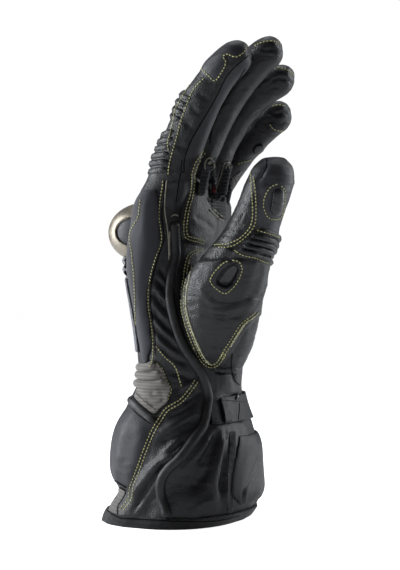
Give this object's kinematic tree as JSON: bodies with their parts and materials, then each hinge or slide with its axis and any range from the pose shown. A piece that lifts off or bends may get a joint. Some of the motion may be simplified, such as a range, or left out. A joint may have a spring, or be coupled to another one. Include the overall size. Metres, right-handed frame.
{
  "type": "motorcycle gauntlet",
  "caption": "Long-cuffed leather racing glove for the left hand with a padded side bolster, a knuckle guard, ribbed stretch panels and a wrist strap, standing on its hem",
  "frame": {"origin": "under the middle of the glove's box, on the plane that the hem stands on", "axes": "+Z runs from the hem up to the fingers, +X is the side the palm faces, +Y the little finger's side"},
  "size_m": [0.1402, 0.1072, 0.3065],
  "materials": {
    "black_leather": "satin grain",
    "smooth_leather": "smooth",
    "ribbed_leather": "ribbed",
    "black_rubber": "matte",
    "stretch_cloth": "ribbed knit",
    "mesh_cloth": "mesh",
    "hem_tape": "woven tape",
    "satin_strip": "satin",
    "guard_metal": "brushed",
    "ring_steel": "polished"
  },
  "bodies": {
    "root": {"cuff_shell": "black_leather", "hand_shell": "black_leather", "index_finger": "black_leather", "middle_finger": "black_leather", "ring_finger": "black_leather", "little_finger": "black_leather", "thumb_ball": "black_leather", "thumb": "black_leather", "hem_binding": "hem_tape", "flap_binding": "smooth_leather", "knuckle_guard": "guard_metal", "knuckle_base": "black_rubber", "back_ribs": "black_rubber", "back_strip": "satin_strip", "side_bolster": "black_leather", "index_low_ribs": "ribbed_leather", "index_high_ribs": "ribbed_leather", "index_tip_patch": "smooth_leather", "middle_low_ribs": "ribbed_leather", "middle_high_ribs": "ribbed_leather", "middle_tip_patch": "smooth_leather", "ring_low_ribs": "ribbed_leather", "ring_high_ribs": "ribbed_leather", "ring_tip_patch": "smooth_leather", "little_low_ribs": "ribbed_leather", "little_high_ribs": "ribbed_leather", "little_tip_patch": "smooth_leather", "little_slider": "black_rubber", "index_patch": "smooth_leather", "palm_patch": "smooth_leather", "palm_slider": "black_rubber", "thumb_ribs": "ribbed_leather", "thumb_slider": "black_rubber", "index_fork_roll": "black_leather", "middle_fork_roll": "black_leather", "ring_fork_roll": "black_leather", "wrist_stretch": "stretch_cloth", "cuff_back_pad": "smooth_leather", "pad_rim": "black_leather", "cuff_guard_pad": "smooth_leather", "mesh_strip": "mesh_cloth", "wrist_strap": "black_leather", "strap_keeper": "smooth_leather", "strap_ring": "ring_steel"}
  },
  "joints": []
}
